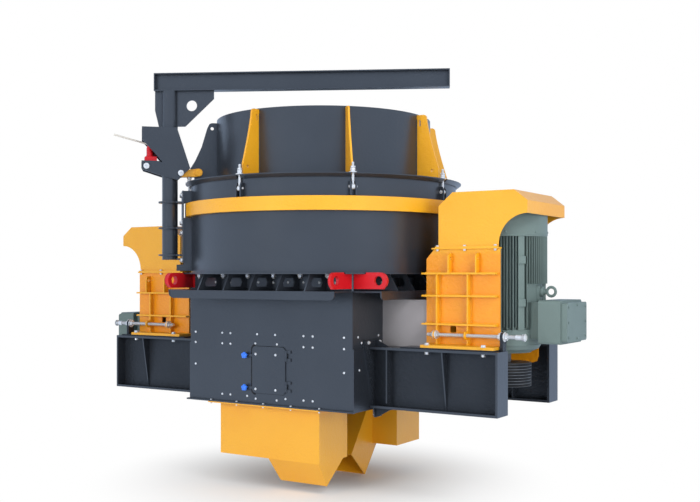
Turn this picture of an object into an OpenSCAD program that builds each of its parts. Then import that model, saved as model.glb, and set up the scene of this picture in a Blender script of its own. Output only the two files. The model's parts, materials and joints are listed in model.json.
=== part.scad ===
// Twin-motor vertical shaft impact crusher on its base frame, with roof-lift jib.
// X runs from motor to motor, the front with the inspection door faces -Y,
// and Z = 0 is the underside of the base frame. All sizes are in millimetres.

/* [Base housing] */
// Half width of the square base housing
housing_half = 860; // [820:5:880]
// Height of the base housing up to the underside of the deck
housing_h = 948; // [900:4:1000]
// Wall plate thickness of the housing, tunnel and ring
wall_t = 12; // [8:1:16]
// Outer half width of the belt tunnel
tunnel_half = 384; // [360:2:386]
// Reach of the tunnel walls from the centre
tunnel_reach = 1365; // [1250:5:1370]
// Top of the belt tunnel
tunnel_top = 885; // [840:5:885]
// Half length of the discharge passages through the deck
passage_half = 600; // [580:5:640]

/* [Deck and gusset ring] */
// Thickness of the deck plate and the drum's bottom flange
deck_t = 12; // [10:1:16]
// Reach of the deck wings from the centre
wing_reach = 1130; // [1100:5:1180]
// Depth of the bent-down lip of a wing, over its deck
lip_h = 70; // [50:2:90]
// Outer half width of the square wall under the drum
ring_half = 800; // [780:5:810]
// Height between the deck and the drum's bottom flange
ring_h = 138; // [120:2:160]
// Spacing of the gusset plates along a side
gusset_pitch = 280; // [250:5:300]
// Thickness of the gusset plates
gusset_t = 12; // [8:1:16]
// Reach of a gusset's foot from the centre
gusset_foot = 1110; // [1080:5:1128]
// Reach of a gusset's top from the centre
gusset_top = 1030; // [980:5:1050]

/* [Lifting lugs] */
// Thickness of a lifting lug
lug_t = 25; // [20:1:30]
// Distance from the housing's corner to a lug's end
lug_reach = 320; // [300:5:340]
// Distance from the housing's corner to the lug hole
lug_hole_at = 240; // [220:2:250]
// Diameter of the lug hole
lug_hole_d = 75; // [60:1:80]

/* [Drum and roof] */
// Outer radius of the crushing drum
drum_r = 1214; // [1190:2:1230]
// Drum shell thickness
drum_t = 16; // [12:1:20]
// Height of the drum shell
drum_h = 770; // [760:5:800]
// Stand-out of the drum's bottom flange
flange_out = 38; // [30:1:46]
// Stand-out of the coloured band
band_out = 53; // [44:1:60]
// Height of the coloured band
band_h = 115; // [90:5:130]
// Height of the band's lower edge over the drum's foot
band_up = 500; // [480:5:520]
// Stand-out of the roof's rim
roof_out = 48; // [40:1:56]
// Roof plate thickness
roof_t = 20; // [14:1:24]
// Distance from the drum's face in to the feed hat
hat_in = 233; // [225:1:255]
// Height of the feed hat over the roof
hat_h = 590; // [560:5:620]
// Radius of the feed hole
feed_r = 200; // [160:5:230]
// Depth of the feed tube under the roof
feed_drop = 240; // [180:10:260]

/* [Rotor] */
// Radius of the rotor
rotor_r = 420; // [380:5:440]
// Height of the rotor
rotor_h = 300; // [240:5:310]
// Radius of the rotor shaft
shaft_r = 50; // [40:1:60]
// Radius of the bearing cartridge
cartridge_r = 190; // [160:5:200]

/* [Beams] */
// Height of the motor beams
beam_h = 500; // [460:5:520]
// Reach of the beams from the centre
beam_reach = 2020; // [2000:5:2060]
// Inner edge of the beams
beam_in = 440; // [430:5:460]
// Flange width of the beams
beam_w = 200; // [180:5:220]
// Flange thickness of the beams
beam_flange = 20; // [14:1:24]
// Web and stiffener thickness of the beams
beam_web = 12; // [8:1:16]

/* [Motor drives] */
// Distance from the centre to a motor's axis
motor_x = 1816; // [1800:2:1830]
// Radius over the cooling fins of a motor
motor_r = 335; // [325:1:340]
// Height of the fins' lower end
fins_z = 654; // [640:2:680]
// Height of the fins' upper end
fins_top = 1400; // [1390:5:1410]
// Height of the fan cover's top
fan_top = 1650; // [1600:5:1655]
// Radius of the sheaves
sheave_r = 205; // [190:1:215]
// Height of the right motor sheave's lower face
sheave_z = 186; // [180:1:190]
// Pitch of the sheave grooves
groove_pitch = 23.5; // [22:0.5:24]
// Number of grooves in a motor sheave
grooves = 8; // [6:2:8]
// Outer half width of the motor carriage
carriage_half = 407; // [404:1:412]
// Plate thickness of the motor carriage
carriage_t = 15; // [12:1:16]
// Height of the carriage's top flange
carriage_top = 1310; // [1290:5:1320]
// Height of the tension rods
rod_z = 610; // [600:5:625]
// Radius of the tension rods
rod_r = 15; // [12:1:16]
// Top of the motor cowl
cowl_top = 1757; // [1740:1:1790]
// Sheet thickness of the cowl
cowl_t = 5; // [3:1:8]

/* [Chutes] */
// Depth of the straight part of a chute
duct_h = 487; // [440:5:520]
// Chute plate thickness
chute_t = 10; // [6:1:12]

/* [Jib and roof lift] */
// Distance from the drum's face to the jib post's axis
post_out = 187; // [181:1:206]
// Radius of the jib post
post_r = 69; // [60:1:72]
// Height of the post's shoulder over the roof
shoulder_up = 510; // [505:5:540]
// Height of the boom's underside over the shoulder
boom_up = 320; // [290:5:350]
// Height of the boom section
boom_h = 158; // [140:2:180]
// Width of the boom section
boom_w = 100; // [90:2:120]
// Reach of the boom from the post
boom_reach = 2490; // [2300:10:2520]
// Angle of the boom from the X axis at rest
boom_turn = 28; // [20:1:45]
// Half gap between the two lift lever plates
lever_half = 69; // [69:1:74]

/* [Inspection door] */
// Width of the door
door_w = 350; // [300:5:380]
// Height of the door
door_h = 400; // [360:5:440]
// Height of the door's lower edge
door_z = 80; // [60:5:100]
// Door plate thickness
door_t = 10; // [8:1:14]
// Distance of the door's middle from the centre line
door_x = 20; // [-20:5:40]

/* [Hidden] */
$fn = 96;

dark = [0.29, 0.33, 0.37];
grey = [0.53, 0.52, 0.53];
yellow = [0.99, 0.75, 0.35];
red = [0.78, 0.08, 0.10];
green = [0.44, 0.51, 0.50];
zinc = [0.84, 0.86, 0.88];
blue = [0.24, 0.51, 1.0];
rubber = [0.12, 0.12, 0.13];

// Gap where a piece is seated but not welded
seat = 0.3;
// Running clearance of pins and shafts
run = 0.1;
// Over-length of a cutting tool
over = 2;

deck_z = housing_h;
deck_top = deck_z + deck_t;
ring_top = deck_top + ring_h;
drum_z = ring_top + deck_t;
drum_top = drum_z + drum_h;
roof_top = drum_top + roof_t;
hat_top = roof_top + hat_h;
roof_r = drum_r + roof_out;
band_r = drum_r + band_out;
flange_r = drum_r + flange_out;
hat_r = drum_r - hat_in;
post_at = drum_r + post_out;
shoulder_z = roof_top + shoulder_up;
boom_z = shoulder_z + boom_up;
bolt_at = roof_r - 32;
bolt_count = 8;
hat_plate_t = 16;
cartridge_top = drum_z + 130;
post_x = -post_at / sqrt(2);
left_drop = grooves * groove_pitch;
housing_foot = -22;
doubler_t = 12;

// Four copies around the vertical axis
module four() {
  for (a = [0:90:270]) rotate([0, 0, a]) children();
}

// Copies at the eight bolt angles
module around(skip = -1) {
  for (i = [0:bolt_count - 1])
    if (i != skip) rotate([0, 0, i * 360 / bolt_count]) children();
}

// A copy on each side of the plane Y = 0
module both_y() {
  children();
  mirror([0, 1, 0]) children();
}

// The left drive is the right one turned round, lower by one set of belts
module left_side() {
  translate([0, 0, -left_drop]) rotate([0, 0, 180]) children();
}

// A profile drawn as (x, z), extruded along Y from y0 to y1
module plate_xz(y0, y1) {
  translate([0, y1, 0]) rotate([90, 0, 0]) linear_extrude(y1 - y0) children();
}

// A profile drawn as (y, z), extruded along X from x0 to x1
module plate_yz(x0, x1) {
  translate([x0, 0, 0]) rotate([90, 0, 90]) linear_extrude(x1 - x0) children();
}

module box(lo, hi) {
  translate(lo) cube(hi - lo);
}

module rod(r, z0, z1) {
  translate([0, 0, z0]) cylinder(r = r, h = z1 - z0);
}

module tube(r_out, r_in, z0, z1) {
  difference() {
    rod(r_out, z0, z1);
    rod(r_in, z0 - over, z1 + over);
  }
}

// A rectangle with two rounded corners at its lower edge
module tongue(w, h, r) {
  difference() {
    translate([-w / 2, -h]) square([w, h]);
    for (s = [-1, 1]) translate([s * (w / 2 - r), r - h]) difference() {
      translate([s > 0 ? 0 : -r - over, -r - over]) square([r + over, r + over]);
      circle(r, $fn = 32);
    }
  }
}

// A rectangle with four rounded corners, centred
module rounded(w, h, r) {
  union() {
    square([w - 2 * r, h], center = true);
    square([w, h - 2 * r], center = true);
    for (sx = [-1, 1], sy = [-1, 1])
      translate([sx * (w / 2 - r), sy * (h / 2 - r)]) circle(r, $fn = 32);
  }
}

// Base housing
door_frame = 25;
hinge_r = 9;
hinge_pin_r = 5;
hinge_x = door_x + door_w / 2 + hinge_r + 3;
hinge_y = -housing_half - door_t;
knob_x = door_x - door_w / 2 - 70;

module door_opening() {
  translate([door_x, 0, door_z + door_h / 2])
    plate_xz(-housing_half - over, -housing_half + wall_t + over)
      rounded(door_w - 2 * door_frame, door_h - 2 * door_frame, 30);
}

module housing_box() {
  foot_top = housing_foot + wall_t;
  difference() {
    union() {
      box([-housing_half, -housing_half, housing_foot], [housing_half, -tunnel_half, housing_h]);
      box([-plate_x, -housing_half - 28, housing_foot], [plate_x, -housing_half + 1, foot_top]);
      for (m = [0, 1]) mirror([m, 0, 0])
        plate_yz(housing_half - 1, housing_half + doubler_t) mirror([1, 0]) polygon([
          [beam_in, housing_foot], [housing_half, housing_foot], [housing_half, beam_h - 10],
          [beam_in + beam_w + 80, beam_h - 10], [beam_in + beam_w + 80, beam_h + 55],
          [beam_in, beam_h + 55]
        ]);
    }
    box([-housing_half + wall_t, -housing_half + wall_t, foot_top],
        [housing_half - wall_t, -tunnel_half - wall_t, housing_h + over]);
    box([duct_x0 + chute_t, duct_y0 + chute_t, housing_foot - over],
        [duct_x1 - chute_t, -tunnel_half - 2 * wall_t, foot_top + over]);
  }
}

module housing_front() {
  color(dark) difference() {
    housing_box();
    door_opening();
  }
}

module housing_rear() {
  color(dark) rotate([0, 0, 180]) housing_box();
}

module belt_tunnel() {
  color(grey) difference() {
    box([-tunnel_reach, -tunnel_half, 0], [tunnel_reach, tunnel_half, tunnel_top]);
    box([-tunnel_reach - over, -tunnel_half + wall_t, -over],
        [tunnel_reach + over, tunnel_half - wall_t, tunnel_top - wall_t]);
    rod(cartridge_r + seat, tunnel_top - wall_t - over, tunnel_top + over);
  }
}

module deck_plate() {
  passage_w = ring_half - tunnel_half - 3 * wall_t;
  color(dark) union() {
    translate([0, 0, deck_z]) linear_extrude(deck_t) difference() {
      union() {
        square([2 * wing_reach, 2 * housing_half], center = true);
        square([2 * housing_half, 2 * wing_reach], center = true);
      }
      circle(cartridge_r + seat);
      for (s = [-1, 1])
        translate([0, s * (ring_half - wall_t - passage_w / 2)])
          square([2 * passage_half, passage_w], center = true);
    }
    four() translate([0, 0, deck_z])
      plate_xz(-wing_reach, -wing_reach + deck_t) tongue(2 * housing_half, lip_h - deck_t, 40);
  }
}

// Gusset ring between the deck and the drum
module gusset_profile() {
  hex_h = 0.55 * ring_h;
  hex_in = ring_half + 75;
  hex_out = gusset_top - 40;
  mid = ring_h / 2;
  difference() {
    polygon([[ring_half, 0], [gusset_foot, 0], [gusset_top, ring_h], [ring_half, ring_h]]);
    polygon([
      [hex_in - 20, mid], [hex_in, mid - hex_h / 2], [hex_out + 20, mid - hex_h / 2],
      [hex_out + 30, mid - 5], [hex_out, mid + hex_h / 2], [hex_in, mid + hex_h / 2]
    ]);
  }
}

diagonal_t = 16;

module gusset_ring() {
  color(dark) translate([0, 0, deck_top]) union() {
    linear_extrude(ring_h) difference() {
      square(2 * ring_half, center = true);
      square(2 * (ring_half - wall_t), center = true);
    }
    four() {
      for (i = [-2:2])
        translate([0, i * gusset_pitch, 0])
          plate_xz(-gusset_t / 2, gusset_t / 2) gusset_profile();
      linear_extrude(ring_h) rotate(45)
        translate([ring_half * sqrt(2) - diagonal_t, -diagonal_t / 2])
          square([(housing_half - ring_half) * sqrt(2) + diagonal_t, diagonal_t]);
    }
  }
}

// One lug, drawn along X from the housing's corner at the origin
module lug_profile() {
  h = ring_top - deck_top + deck_t - 18;
  r = h / 2;
  step_at = 125;
  difference() {
    union() {
      polygon([
        [-2 * lug_t, 0], [lug_reach - 35, 0], [lug_reach - 8, r - 15], [lug_reach, r],
        [lug_reach - r, h], [-2 * lug_t, h]
      ]);
      translate([lug_reach - r, r]) circle(r);
    }
    translate([-2 * lug_t - over, h - deck_t - seat])
      square([2 * lug_t + over + step_at, deck_t + over]);
    translate([lug_hole_at, r]) circle(d = lug_hole_d);
    translate([lug_reach - 35, -over]) mirror([0, 1]) square(80);
  }
}

module lifting_lugs() {
  color(red) four() difference() {
    translate([housing_half, -housing_half, deck_top + 18]) {
      plate_xz(0, lug_t) lug_profile();
      mirror([1, 0, 0]) rotate([0, 0, -90]) plate_xz(0, lug_t) lug_profile();
    }
    translate([0, 0, deck_top]) linear_extrude(2 * ring_h) rotate(-45) {
      translate([0, -diagonal_t / 2 - seat]) square([2 * housing_half, diagonal_t + 2 * seat]);
      square([2 * (housing_half - lug_t) * sqrt(2), 200], center = true);
    }
  }
}

// Drum, band and roof
tab_half = ring_half + 180;
tab_sum = drum_r + 636;

module drum_flange() {
  color(dark) translate([0, 0, ring_top]) linear_extrude(deck_t) difference() {
    union() {
      circle(flange_r, $fn = 180);
      intersection() {
        square(2 * tab_half, center = true);
        rotate(45) square(tab_sum * sqrt(2), center = true);
      }
    }
    square(2 * (ring_half - wall_t), center = true);
  }
}

module drum() {
  color(dark) tube(drum_r, drum_r - drum_t, drum_z, drum_top, $fn = 180);
}

module drum_band() {
  color(yellow)
    tube(band_r, drum_r + seat, drum_z + band_up, drum_z + band_up + band_h, $fn = 180);
}

module roof_cover() {
  notch_w = 44;
  color(dark) difference() {
    rotate_extrude($fn = 180) polygon([
      [hat_r - 60, drum_top], [roof_r - 34, drum_top], [roof_r, roof_top + 5],
      [roof_r, roof_top + 13], [roof_r - 40, roof_top], [hat_r - 60, roof_top]
    ]);
    around() box([bolt_at - 25, -notch_w / 2, drum_top - over],
                 [roof_r + over, notch_w / 2, roof_top + 20]);
  }
}

module feed_tube() {
  color(dark) union() {
    tube(hat_r - 60 - seat, feed_r, drum_top, roof_top);
    tube(feed_r + 12, feed_r, drum_top - feed_drop, drum_top + 1);
  }
}

module feed_hat() {
  color(dark) tube(hat_r, hat_r - wall_t, roof_top, hat_top, $fn = 180);
}

// Upright plates on the hat, from its foot at the roof to a rounded top
hat_plate_top = hat_r + 95;
hat_plate_foot = hat_r + 212;
hat_plate_heel = 110;

module hat_plate_profile() {
  steps = 10;
  edge_h = hat_h - 40;
  edge = [for (i = [0:steps]) let(u = i / steps)
    [hat_plate_top + (hat_plate_foot - hat_plate_top) * pow(1 - u, 1.25),
     hat_plate_heel + (edge_h - hat_plate_heel) * u]];
  difference() {
    union() {
      polygon(concat([[hat_r + seat, 0], [hat_plate_foot, 0]], edge, [[hat_r + seat, edge_h]]));
      translate([hat_r + seat, edge_h - 1]) square([hat_plate_top - hat_r - 30, 31]);
      translate([hat_plate_top - 30, edge_h]) circle(30, $fn = 32);
    }
    translate([hat_r + 30, edge_h - 60]) {
      circle(8, $fn = 24);
      translate([-8, 0]) square([16, 40]);
      translate([0, 40]) circle(8, $fn = 24);
    }
    translate([hat_plate_foot - 60, 90]) circle(14, $fn = 24);
  }
}

lever_plate_index = 5;

module hat_gussets() {
  color(yellow) translate([0, 0, roof_top]) around(lever_plate_index)
    plate_xz(-hat_plate_t / 2, hat_plate_t / 2) hat_plate_profile();
}

// Lever geometry in the plane through the drum's axis and the post:
// t runs from the post towards the axis, z is the height
lift_pin = [93, roof_top + 95];
link_pin = [252, roof_top + 107];
link_pin_r = 16;

module lever_gusset() {
  t0 = post_at - hat_r - seat;
  color(dark) in_lift_plane() difference() {
    plate_xz(-hat_plate_t / 2, hat_plate_t / 2) difference() {
      polygon([
        [t0, roof_top], [t0 - 200, roof_top], [t0 - 208, roof_top + 100],
        [t0 - 240, roof_top + 130], [t0 - 240, roof_top + 146], [t0 - 200, roof_top + 210],
        [t0 - 140, roof_top + 340], [t0 - 90, roof_top + 510],
        [t0 - 70, hat_top - 40], [t0 - 50, hat_top - 30], [t0, hat_top - 30]
      ]);
      translate(link_pin) circle(link_pin_r + run);
      translate([t0 - 45, hat_top - 80]) circle(15, $fn = 32);
    }
  }
}

module in_lift_plane() {
  translate([post_x, post_x, 0]) rotate([0, 0, 45]) children();
}

// Swing bolts that clamp the roof, and the lugs on the drum that carry them
eye_z = drum_z + band_up + band_h + 75;
eye_w = 30;
eye_pin_r = 10;

module eye_plates() {
  lug_plate = 14;
  around() both_y()
    plate_xz(eye_w / 2 + 1, eye_w / 2 + 1 + lug_plate) difference() {
      polygon([
        [drum_r - 4, eye_z - 70], [bolt_at + 24, eye_z - 70], [bolt_at + 24, eye_z + 20],
        [bolt_at + 10, eye_z + 45], [drum_r - 4, eye_z + 45]
      ]);
      translate([bolt_at, eye_z]) circle(eye_pin_r + run, $fn = 32);
    }
}

module bolt_lugs() {
  color(dark) difference() {
    eye_plates();
    rod(drum_r + seat, drum_z, roof_top, $fn = 180);
  }
}

module swing_bolts() {
  stud_r = 11;
  nut_z = roof_top + 50;
  color(zinc) around() {
    translate([bolt_at, 0, eye_z]) rotate([90, 0, 0]) {
      translate([0, 0, -eye_w / 2]) cylinder(r = 20, h = eye_w, $fn = 32);
      translate([0, 0, -38]) cylinder(r = eye_pin_r, h = 76, $fn = 32);
    }
    translate([bolt_at, 0, 0]) {
      rod(stud_r, eye_z, nut_z + 50, $fn = 32);
      rod(34, roof_top + 13 + seat, nut_z, $fn = 48);
      rod(22, nut_z, nut_z + 36, $fn = 6);
    }
  }
}

// Sheave profile with trapezoid grooves, drawn as (radius, height) from the lower face
groove_depth = 20;
groove_top_w = 19;
groove_foot_w = 13;
sheave_h = grooves * groove_pitch;

module sheave_profile(count) {
  difference() {
    square([sheave_r, count * groove_pitch]);
    for (i = [0:count - 1]) translate([sheave_r, (i + 0.5) * groove_pitch]) polygon([
      [-groove_depth, -groove_foot_w / 2], [over, -groove_top_w / 2],
      [over, groove_top_w / 2], [-groove_depth, groove_foot_w / 2]
    ]);
  }
}

module sheave_body(count, z) {
  translate([0, 0, z]) rotate_extrude() sheave_profile(count);
}

// Rotor on its shaft, with the driven sheave for both sets of belts at the lower end
module rotor() {
  rotor_z = cartridge_top + 10;
  color(dark) {
    difference() {
      rod(rotor_r, rotor_z, rotor_z + rotor_h);
      rod(feed_r - 40, rotor_z + 60, rotor_z + rotor_h + over);
      four() box([0, -60, rotor_z + 70], [rotor_r + over, 60, rotor_z + rotor_h - 60]);
    }
    rod(shaft_r, sheave_z + sheave_h - 1, rotor_z + 1);
    sheave_body(2 * grooves, sheave_z - left_drop);
  }
}

module bearing_cartridge() {
  cartridge_z = sheave_z + sheave_h + 60;
  color(dark) difference() {
    union() {
      rod(cartridge_r, cartridge_z, cartridge_top);
      rod(cartridge_r + 90, deck_top + seat, deck_top + 25);
    }
    rod(shaft_r + run, cartridge_z - over, cartridge_top + over);
  }
}

// Motor beam on the right, front side, with its second stiffener at the stated place
plate_x = housing_half + 25;
end_plate_t = 20;
rail_t = 10;
rod_y = 480;
foot_hole_d = 33;
first_stiffener_x = plate_x + 155;
foot_at = [1150, 1850];

module beam(stiffener_x) {
  beam_mid = beam_in + beam_w / 2;
  web0 = beam_mid - beam_web / 2;
  web1 = beam_mid + beam_web / 2;
  beam_out = beam_in + beam_w;
  end_x = beam_reach - end_plate_t;
  half_t = beam_web / 2;
  color(dark) mirror([0, 1, 0]) difference() {
    union() {
      for (z = [0, beam_h - beam_flange])
        box([plate_x - 1, beam_in, z], [end_x + 1, beam_out, z + beam_flange]);
      box([plate_x - 1, web0, 1], [end_x + 1, web1, beam_h - 1]);
      box([plate_x + 275, beam_in, beam_h - 1], [beam_reach - 45, beam_out - 25, beam_h + rail_t]);
      plate_yz(end_x, beam_reach) polygon([
        [beam_in, 0], [beam_out, 0], [beam_out, beam_h], [beam_in, beam_h]
      ]);
      plate_yz(housing_half + doubler_t, plate_x) polygon([
        [beam_in, -90], [beam_mid + 10, -90], [beam_out + 80, beam_h + 55],
        [beam_in, beam_h + 55]
      ]);
      plate_yz(first_stiffener_x - half_t, first_stiffener_x + half_t) polygon([
        [beam_in + 8, beam_flange - 1], [beam_out - 35, beam_flange - 1],
        [beam_out - 10, beam_flange + 25], [beam_out - 10, beam_h - beam_flange + 1],
        [beam_in + 8, beam_h - beam_flange + 1]
      ]);
      plate_yz(stiffener_x - half_t, stiffener_x + half_t) polygon([
        [beam_in + 8, beam_flange - 1], [beam_mid + 12, beam_flange - 1],
        [beam_out - 10, beam_h - beam_flange + 1], [beam_in + 8, beam_h - beam_flange + 1]
      ]);
      plate_xz(web0, web1) polygon([
        [plate_x - 1, beam_h - 1], [plate_x + 130, beam_h - 1], [plate_x + 20, beam_h + 50],
        [plate_x - 1, beam_h + 50]
      ]);
      plate_xz(web0, web1) polygon([
        [plate_x - 1, 1], [plate_x + 220, 1], [plate_x + 130, -25], [plate_x + 30, -80],
        [plate_x - 1, -85]
      ]);
      plate_yz(end_x - 15, end_x + 10) translate([rod_y, 0]) union() {
        translate([-35, beam_h - 1]) square([70, rod_z - beam_h + 1]);
        translate([0, rod_z]) circle(35);
      }
    }
    translate([end_x - 20, rod_y, rod_z]) rotate([0, 90, 0]) cylinder(r = rod_r + 4, h = 60);
    for (x = foot_at) translate([x, beam_in + 40, -over])
      cylinder(d = foot_hole_d, h = beam_flange + 2 * over, $fn = 48);
  }
}

module beam_front_right() { beam(beam_reach - 478); }
module beam_rear_right() { mirror([0, 1, 0]) beam(beam_reach - 340); }
module beam_front_left() { rotate([0, 0, 180]) beam_rear_right(); }
module beam_rear_left() { rotate([0, 0, 180]) beam_front_right(); }

// Belt loops round a motor sheave and the rotor's sheave
belt_w = 11;
belt_gap = 0.5;
belt_proud = 2;

module loop_outline(r) {
  union() {
    circle(r);
    translate([motor_x, 0]) circle(r);
    translate([0, -r]) square([motor_x, 2 * r]);
  }
}

module belts() {
  for (i = [0:grooves - 1])
    translate([0, 0, sheave_z + (i + 0.5) * groove_pitch - belt_w / 2])
      linear_extrude(belt_w) difference() {
        loop_outline(sheave_r + belt_proud);
        loop_outline(sheave_r - groove_depth + belt_gap);
      }
}

module belts_right() { color(rubber) belts(); }
module belts_left() { color(rubber) left_side() belts(); }

// Discharge chutes
duct_x0 = -575;
duct_x1 = 485;
duct_y0 = -785;
duct_y1 = -355;
lip_x0 = -43;
lip_drop = 200;
lip_lean = 115;
spout_half = 310;

module duct() {
  difference() {
    union() {
      box([duct_x0, duct_y0, -duct_h], [duct_x1, duct_y1, housing_foot - 1]);
      box([duct_x0 - 60, -housing_half - 26, housing_foot - chute_t],
          [duct_x1 + 60, duct_y1 + 10, housing_foot]);
    }
    box([duct_x0 + chute_t, duct_y0 + chute_t, -duct_h - over],
        [duct_x1 - chute_t, duct_y1 - chute_t, housing_foot + over]);
  }
}

module chute_front() {
  color(yellow) union() {
    duct();
    difference() {
      plate_yz(lip_x0, duct_x1) polygon([
        [duct_y0, -duct_h + 1], [duct_y0, -duct_h], [duct_y0 + lip_lean, -duct_h - lip_drop],
        [duct_y1 - 65, -duct_h], [duct_y1 - 65, -duct_h + 1]
      ]);
      plate_yz(lip_x0 - over, duct_x1 - chute_t) polygon([
        [duct_y0 + chute_t, -duct_h + 3], [duct_y0 + chute_t, -duct_h],
        [duct_y0 + lip_lean + chute_t, -duct_h - lip_drop - 3],
        [duct_y1, -duct_h - lip_drop - 3], [duct_y1, -duct_h + 3]
      ]);
      plate_xz(duct_y0 - over, duct_y1) polygon([
        [lip_x0 - 20, -duct_h - 1], [lip_x0, -duct_h - 1], [lip_x0 + 45, -duct_h - lip_drop],
        [lip_x0 - 20, -duct_h - lip_drop]
      ]);
    }
  }
}

// The rear spout leans towards the middle, under the base frame
spout_top = [345, -42];
spout_tip = [-10, -538];
spout_heel = [440, -487];
spout_toe = [222, -759];

module chute_rear() {
  color(yellow) union() {
    difference() {
      rotate([0, 0, 180]) duct();
      plate_yz(-spout_half + chute_t, spout_half - chute_t) polygon([
        [spout_top[0] - 5, spout_top[1] - 20], [spout_top[0] + 40, spout_top[1] - 20],
        [spout_top[0] + 40, -duct_h - 3], [spout_top[0] - 5, -duct_h - 3]
      ]);
    }
    difference() {
      plate_yz(-spout_half, spout_half) polygon([
        [355, -duct_h], spout_heel, spout_toe, spout_tip, spout_top, [355, spout_top[1]]
      ]);
      plate_yz(-spout_half + chute_t, spout_half - chute_t) polygon([
        [370, -duct_h], spout_heel + [-14, 0], spout_toe + [-44, -35],
        spout_tip + [-30, -60], spout_tip + [14, -8], spout_top + [10, -20],
        [370, spout_top[1] - 20]
      ]);
    }
  }
}

// Jib post, its bracket on the drum, and the boom
drum_at = post_at - drum_r;
bracket_t0 = 105;
collar_t = 14;
post_foot = drum_z + 130;

module jib_bracket() {
  z0 = drum_z + 90;
  band0 = drum_z + band_up - 10;
  band1 = drum_z + band_up + band_h + 10;
  top = band1 + 105;
  foot_z = drum_z + 18;
  color(dark) difference() {
    in_lift_plane() {
      box([bracket_t0, -90, z0], [bracket_t0 + 14, 90, top]);
      for (s = [-1, 1]) {
        for (zz = [[foot_z, band0], [band1, top]])
          box([bracket_t0 + 13, s * 60 - 6, zz[0]], [drum_at + 30, s * 60 + 6, zz[1]]);
        box([60, s * 60 - 6, foot_z], [bracket_t0 + 14, s * 60 + 6, foot_z + 55]);
      }
      for (z = [z0 + 60, z0 + 300, z0 + 530]) translate([0, 0, z]) linear_extrude(collar_t)
        difference() {
          union() {
            circle(post_r + 32);
            translate([0, -post_r - 20]) square([bracket_t0 + 1, 2 * (post_r + 20)]);
          }
          circle(post_r + seat);
        }
      translate([0, 0, post_foot - seat - collar_t]) linear_extrude(collar_t) union() {
        circle(post_r);
        translate([0, -40]) square([bracket_t0 + 1, 80]);
      }
    }
    rod(drum_r + seat, foot_z - over, top + over, $fn = 180);
  }
}

spigot_r = 50;

module jib_post() {
  color(dark) in_lift_plane() {
    rod(post_r, post_foot, shoulder_z - seat);
    rod(spigot_r, shoulder_z - 1, boom_z - 5);
  }
}

module jib_boom() {
  flange_t = 10;
  web_t = 8;
  tail = -134;
  z1 = boom_z + boom_h;
  color(dark) translate([post_x, post_x, 0]) rotate([0, 0, boom_turn]) {
    tube(post_r, spigot_r + run, shoulder_z, boom_z + 1);
    for (z = [boom_z, z1 - flange_t])
      box([tail, -boom_w / 2, z], [boom_reach, boom_w / 2, z + flange_t]);
    box([tail, -web_t / 2, boom_z + 1], [boom_reach, web_t / 2, z1 - 1]);
    for (x = [tail, boom_reach - flange_t])
      box([x, -boom_w / 2, boom_z], [x + flange_t, boom_w / 2, z1]);
    plate_xz(-8, 8) difference() {
      polygon([
        [post_r - 5, shoulder_z + 5], [post_r + 70, shoulder_z + 5], [post_r + 330, boom_z - 70],
        [post_r + 330, boom_z + 1], [post_r - 5, boom_z + 1]
      ]);
      translate([post_r + 130, boom_z - 130]) circle(48);
    }
    plate_xz(-8, 8) polygon([
      [tail, boom_z + 1], [tail, boom_z - 170], [tail + 35, shoulder_z + 5],
      [5 - post_r, shoulder_z + 5], [5 - post_r, boom_z + 1]
    ]);
  }
}

// Roof-lift lever: two plates on the post, a jack under the upper arm
lever_t = 16;
jack_pin = [-207, roof_top + 151];
jack_seat_z = roof_top + 200;
jack_t = -175;
cross_z = jack_seat_z + 220;

module lift_lever() {
  color(dark) in_lift_plane() {
    both_y() plate_xz(lever_half + seat, lever_half + seat + lever_t) difference() {
      polygon([
        [-246, shoulder_z - 10], [65, shoulder_z - 10], [65, shoulder_z - 30],
        [175, roof_top + 140], [60, roof_top + 34], [-70, roof_top + 68], [-235, roof_top + 120],
        [-250, roof_top + 150], [-250, jack_seat_z], [-120, jack_seat_z], [-63, jack_seat_z - 14],
        [-246, jack_seat_z + 190]
      ]);
      translate(lift_pin) circle(18 + run);
      translate(jack_pin) circle(18 + run);
    }
    box([-235, -lever_half - 1, jack_seat_z - 12], [-90, lever_half + 1, jack_seat_z]);
    box([-235, -lever_half - 1, cross_z], [-90, lever_half + 1, cross_z + 12]);
  }
}

module lever_pins() {
  half = lever_half + lever_t + 12;
  color(zinc) in_lift_plane() for (p = [lift_pin, jack_pin])
    translate([p[0], half, p[1]]) rotate([90, 0, 0]) cylinder(r = 18, h = 2 * half, $fn = 48);
}

module lever_links() {
  link_in = 30;
  link_t = 12;
  color(yellow) in_lift_plane() {
    both_y() plate_xz(link_in, link_in + link_t) difference() {
      union() {
        translate(lift_pin) circle(28);
        translate(link_pin) circle(36);
        polygon([
          lift_pin + [0, -28], link_pin + [0, -36], link_pin + [0, 36], lift_pin + [0, 28]
        ]);
      }
      translate(lift_pin) circle(18 + run);
    }
    translate([link_pin[0], link_in + link_t + 8, link_pin[1]]) rotate([90, 0, 0])
      cylinder(r = link_pin_r, h = 2 * (link_in + link_t + 8), $fn = 48);
  }
}

handle_pivot = [-135, jack_seat_z + 145];
handle_w = 44;
handle_eye = 16;

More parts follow.
